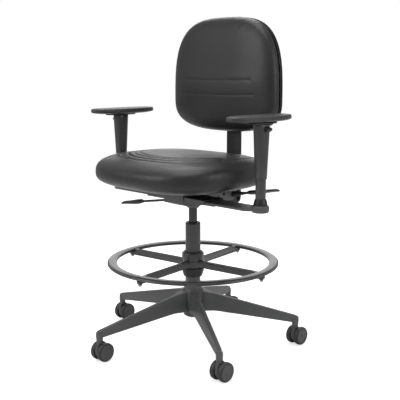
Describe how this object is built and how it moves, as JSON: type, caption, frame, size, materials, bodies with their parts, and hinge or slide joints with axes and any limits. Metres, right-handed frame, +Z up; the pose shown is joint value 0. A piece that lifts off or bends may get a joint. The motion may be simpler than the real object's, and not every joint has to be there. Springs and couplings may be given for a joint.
{
  "type": "drafting chair",
  "caption": "Tall drafting chair with a padded seat and back, height-adjustable arms, a foot ring on the gas column, and a star base on casters.",
  "frame": {"origin": "centre of the bounding box on the floor, a few millimetres from the column axis", "axes": "+Z up, the chair faces -Y, +X is the sitter's left"},
  "size_m": [0.7142, 0.7032, 1.066],
  "materials": {
    "base_nylon": "satin, moulded glass-filled nylon",
    "caster_grey": "satin moulded",
    "caster_tread": "satin moulded, softer tread",
    "pin_steel": "turned",
    "column_paint": "satin powder coat",
    "piston_steel": "dark, polished",
    "black_plastic": "fine texture",
    "foot_ring_paint": "satin grey-black powder coat",
    "mechanism_steel": "satin grey paint",
    "dark_steel": "satin black paint",
    "arm_tube_paint": "satin powder coat",
    "arm_plastic": "satin moulded",
    "arm_pad_skin": "soft self-skinning foam",
    "vinyl": "black vinyl upholstery over foam"
  },
  "bodies": {
    "base": {"five_star_base": "base_nylon", "gas_column_tube": "column_paint", "column_retaining_clip": "pin_steel", "column_guide_bushing": "black_plastic"},
    "foot_ring_clamp": {"foot_ring_collet": "black_plastic"},
    "foot_ring": {"foot_ring": "foot_ring_paint", "foot_ring_spider": "foot_ring_paint"},
    "foot_ring_knob": {"foot_ring_knob": "black_plastic"},
    "piston": {"gas_piston": "piston_steel"},
    "valve": {"gas_valve_button": "pin_steel"},
    "swivel": {"column_socket": "mechanism_steel"},
    "seat": {"mechanism_housing": "mechanism_steel", "tilt_pivot_pin": "dark_steel", "back_pivot_pin": "dark_steel", "seat_pan": "black_plastic", "seat_cushion": "vinyl"},
    "height_lever": {"height_lever": "black_plastic"},
    "back_lever": {"back_lever": "black_plastic"},
    "tilt_lever": {"tilt_lever": "black_plastic"},
    "back_frame": {"back_pivot_bracket": "dark_steel", "back_upright": "dark_steel"},
    "back": {"back_carrier": "black_plastic", "back_shell": "black_plastic", "back_cushion": "vinyl"},
    "caster_1": {"caster_fork_1": "caster_grey", "caster_axle_1": "pin_steel"},
    "wheel_left_1": {"caster_wheel_left_1": "caster_tread"},
    "wheel_right_1": {"caster_wheel_right_1": "caster_tread"},
    "caster_2": {"caster_fork_2": "caster_grey", "caster_axle_2": "pin_steel"},
    "wheel_left_2": {"caster_wheel_left_2": "caster_tread"},
    "wheel_right_2": {"caster_wheel_right_2": "caster_tread"},
    "caster_3": {"caster_fork_3": "caster_grey", "caster_axle_3": "pin_steel"},
    "wheel_left_3": {"caster_wheel_left_3": "caster_tread"},
    "wheel_right_3": {"caster_wheel_right_3": "caster_tread"},
    "caster_4": {"caster_fork_4": "caster_grey", "caster_axle_4": "pin_steel"},
    "wheel_left_4": {"caster_wheel_left_4": "caster_tread"},
    "wheel_right_4": {"caster_wheel_right_4": "caster_tread"},
    "caster_5": {"caster_fork_5": "caster_grey", "caster_axle_5": "pin_steel"},
    "wheel_left_5": {"caster_wheel_left_5": "caster_tread"},
    "wheel_right_5": {"caster_wheel_right_5": "caster_tread"},
    "arm_left": {"arm_bar_left": "mechanism_steel", "arm_post_tube_left": "arm_tube_paint", "arm_post_collar_left": "black_plastic"},
    "arm_head_left": {"arm_sleeve_left": "arm_plastic"},
    "arm_trigger_left": {"arm_trigger_left": "black_plastic"},
    "arm_pad_left": {"arm_pad_plate_left": "black_plastic", "arm_pad_left": "arm_pad_skin"},
    "arm_right": {"arm_bar_right": "mechanism_steel", "arm_post_tube_right": "arm_tube_paint", "arm_post_collar_right": "black_plastic"},
    "arm_head_right": {"arm_sleeve_right": "arm_plastic"},
    "arm_trigger_right": {"arm_trigger_right": "black_plastic"},
    "arm_pad_right": {"arm_pad_plate_right": "black_plastic", "arm_pad_right": "arm_pad_skin"}
  },
  "joints": [
    {"name": "caster_swivel_1", "type": "hinge", "parent": "base", "child": "caster_1", "pos_m": [0.29387, -0.18165, 0.06], "axis": [0, 0, 1], "continuous": true},
    {"name": "wheel_spin_left_1", "type": "hinge", "parent": "caster_1", "child": "wheel_left_1", "pos_m": [0.29387, -0.17165, 0.03], "axis": [1, 0, 0], "continuous": true},
    {"name": "wheel_spin_right_1", "type": "hinge", "parent": "caster_1", "child": "wheel_right_1", "pos_m": [0.29387, -0.17165, 0.03], "axis": [1, 0, 0], "continuous": true},
    {"name": "caster_swivel_2", "type": "hinge", "parent": "base", "child": "caster_2", "pos_m": [0.26538, 0.21585, 0.06], "axis": [0, 0, 1], "continuous": true},
    {"name": "wheel_spin_left_2", "type": "hinge", "parent": "caster_2", "child": "wheel_left_2", "pos_m": [0.26538, 0.22585, 0.03], "axis": [1, 0, 0], "continuous": true},
    {"name": "wheel_spin_right_2", "type": "hinge", "parent": "caster_2", "child": "wheel_right_2", "pos_m": [0.26538, 0.22585, 0.03], "axis": [1, 0, 0], "continuous": true},
    {"name": "caster_swivel_3", "type": "hinge", "parent": "base", "child": "caster_3", "pos_m": [-0.12147, 0.31158, 0.06], "axis": [0, 0, 1], "continuous": true},
    {"name": "wheel_spin_left_3", "type": "hinge", "parent": "caster_3", "child": "wheel_left_3", "pos_m": [-0.12147, 0.32158, 0.03], "axis": [1, 0, 0], "continuous": true},
    {"name": "wheel_spin_right_3", "type": "hinge", "parent": "caster_3", "child": "wheel_right_3", "pos_m": [-0.12147, 0.32158, 0.03], "axis": [1, 0, 0], "continuous": true},
    {"name": "caster_swivel_4", "type": "hinge", "parent": "base", "child": "caster_4", "pos_m": [-0.33207, -0.02675, 0.06], "axis": [0, 0, 1], "continuous": true},
    {"name": "wheel_spin_left_4", "type": "hinge", "parent": "caster_4", "child": "wheel_left_4", "pos_m": [-0.33207, -0.01675, 0.03], "axis": [1, 0, 0], "continuous": true},
    {"name": "wheel_spin_right_4", "type": "hinge", "parent": "caster_4", "child": "wheel_right_4", "pos_m": [-0.33207, -0.01675, 0.03], "axis": [1, 0, 0], "continuous": true},
    {"name": "caster_swivel_5", "type": "hinge", "parent": "base", "child": "caster_5", "pos_m": [-0.07537, -0.33158, 0.06], "axis": [0, 0, 1], "continuous": true},
    {"name": "wheel_spin_left_5", "type": "hinge", "parent": "caster_5", "child": "wheel_left_5", "pos_m": [-0.07537, -0.32158, 0.03], "axis": [1, 0, 0], "continuous": true},
    {"name": "wheel_spin_right_5", "type": "hinge", "parent": "caster_5", "child": "wheel_right_5", "pos_m": [-0.07537, -0.32158, 0.03], "axis": [1, 0, 0], "continuous": true},
    {"name": "foot_ring_height", "type": "slide", "parent": "base", "child": "foot_ring_clamp", "axis": [0, 0, 1], "range_m": [-0.024, 0.06]},
    {"name": "foot_ring_turn", "type": "hinge", "parent": "foot_ring_clamp", "child": "foot_ring", "pos_m": [0.00607, -0.00251, 0.27], "axis": [0, 0, 1], "range_deg": [-90, 90]},
    {"name": "foot_ring_knob_twist", "type": "hinge", "parent": "foot_ring", "child": "foot_ring_knob", "pos_m": [0.00607, -0.00251, 0.245], "axis": [0, 0, 1], "range_deg": [-90, 0]},
    {"name": "seat_height", "type": "slide", "parent": "base", "child": "piston", "axis": [0, 0, 1], "range_m": [-0.02, 0.2]},
    {"name": "valve_press", "type": "slide", "parent": "piston", "child": "valve", "axis": [0, 0, 1], "range_m": [-0.003, 0]},
    {"name": "seat_swivel", "type": "hinge", "parent": "piston", "child": "swivel", "pos_m": [0.00607, -0.00251, 0.47], "axis": [0, 0, 1], "continuous": true},
    {"name": "seat_tilt", "type": "hinge", "parent": "swivel", "child": "seat", "pos_m": [0.00607, 0.00349, 0.492], "axis": [1, 0, 0], "range_deg": [-6, 3]},
    {"name": "height_lever_lift", "type": "hinge", "parent": "seat", "child": "height_lever", "pos_m": [-0.03733, -0.08251, 0.4847], "axis": [0, 1, 0], "range_deg": [0, 5], "stiffness_Nm_per_rad": 4, "springref_deg": -5.73},
    {"name": "back_lever_lift", "type": "hinge", "parent": "seat", "child": "back_lever", "pos_m": [0.04947, 0.14549, 0.487], "axis": [0, -1, 0], "range_deg": [0, 5], "stiffness_Nm_per_rad": 4, "springref_deg": -5.73},
    {"name": "tilt_lever_swing", "type": "hinge", "parent": "seat", "child": "tilt_lever", "pos_m": [0.04947, -0.04851, 0.5085], "axis": [0, 0, 1], "range_deg": [0, 10]},
    {"name": "back_recline", "type": "hinge", "parent": "seat", "child": "back_frame", "pos_m": [0.00607, 0.07349, 0.48], "axis": [-1, 0, 0], "range_deg": [0, 15]},
    {"name": "back_height", "type": "slide", "parent": "back_frame", "child": "back", "axis": [0, 0, 1], "range_m": [-0.024, 0.06]},
    {"name": "arm_width_left", "type": "slide", "parent": "seat", "child": "arm_left", "axis": [1, 0, 0], "range_m": [-0.01, 0.025]},
    {"name": "arm_height_left", "type": "slide", "parent": "arm_left", "child": "arm_head_left", "axis": [0, 0, 1], "range_m": [-0.055, 0.04]},
    {"name": "arm_trigger_lift_left", "type": "slide", "parent": "arm_head_left", "child": "arm_trigger_left", "axis": [0, 0, 1], "range_m": [0, 0.004], "stiffness_N_per_m": 500, "springref_m": -0.002},
    {"name": "arm_pad_turn_left", "type": "hinge", "parent": "arm_head_left", "child": "arm_pad_left", "pos_m": [0.32107, -0.03951, 0.748], "axis": [0, 0, 1], "range_deg": [-20, 20]},
    {"name": "arm_width_right", "type": "slide", "parent": "seat", "child": "arm_right", "axis": [-1, 0, 0], "range_m": [-0.01, 0.025]},
    {"name": "arm_height_right", "type": "slide", "parent": "arm_right", "child": "arm_head_right", "axis": [0, 0, 1], "range_m": [-0.055, 0.04]},
    {"name": "arm_trigger_lift_right", "type": "slide", "parent": "arm_head_right", "child": "arm_trigger_right", "axis": [0, 0, 1], "range_m": [0, 0.004], "stiffness_N_per_m": 500, "springref_m": -0.002},
    {"name": "arm_pad_turn_right", "type": "hinge", "parent": "arm_head_right", "child": "arm_pad_right", "pos_m": [-0.30893, -0.03951, 0.748], "axis": [0, 0, 1], "range_deg": [-20, 20]}
  ],
  "couplings": [
    {"joint": "valve_press", "follows": "height_lever_lift", "m_per_rad": -0.034377}
  ]
}
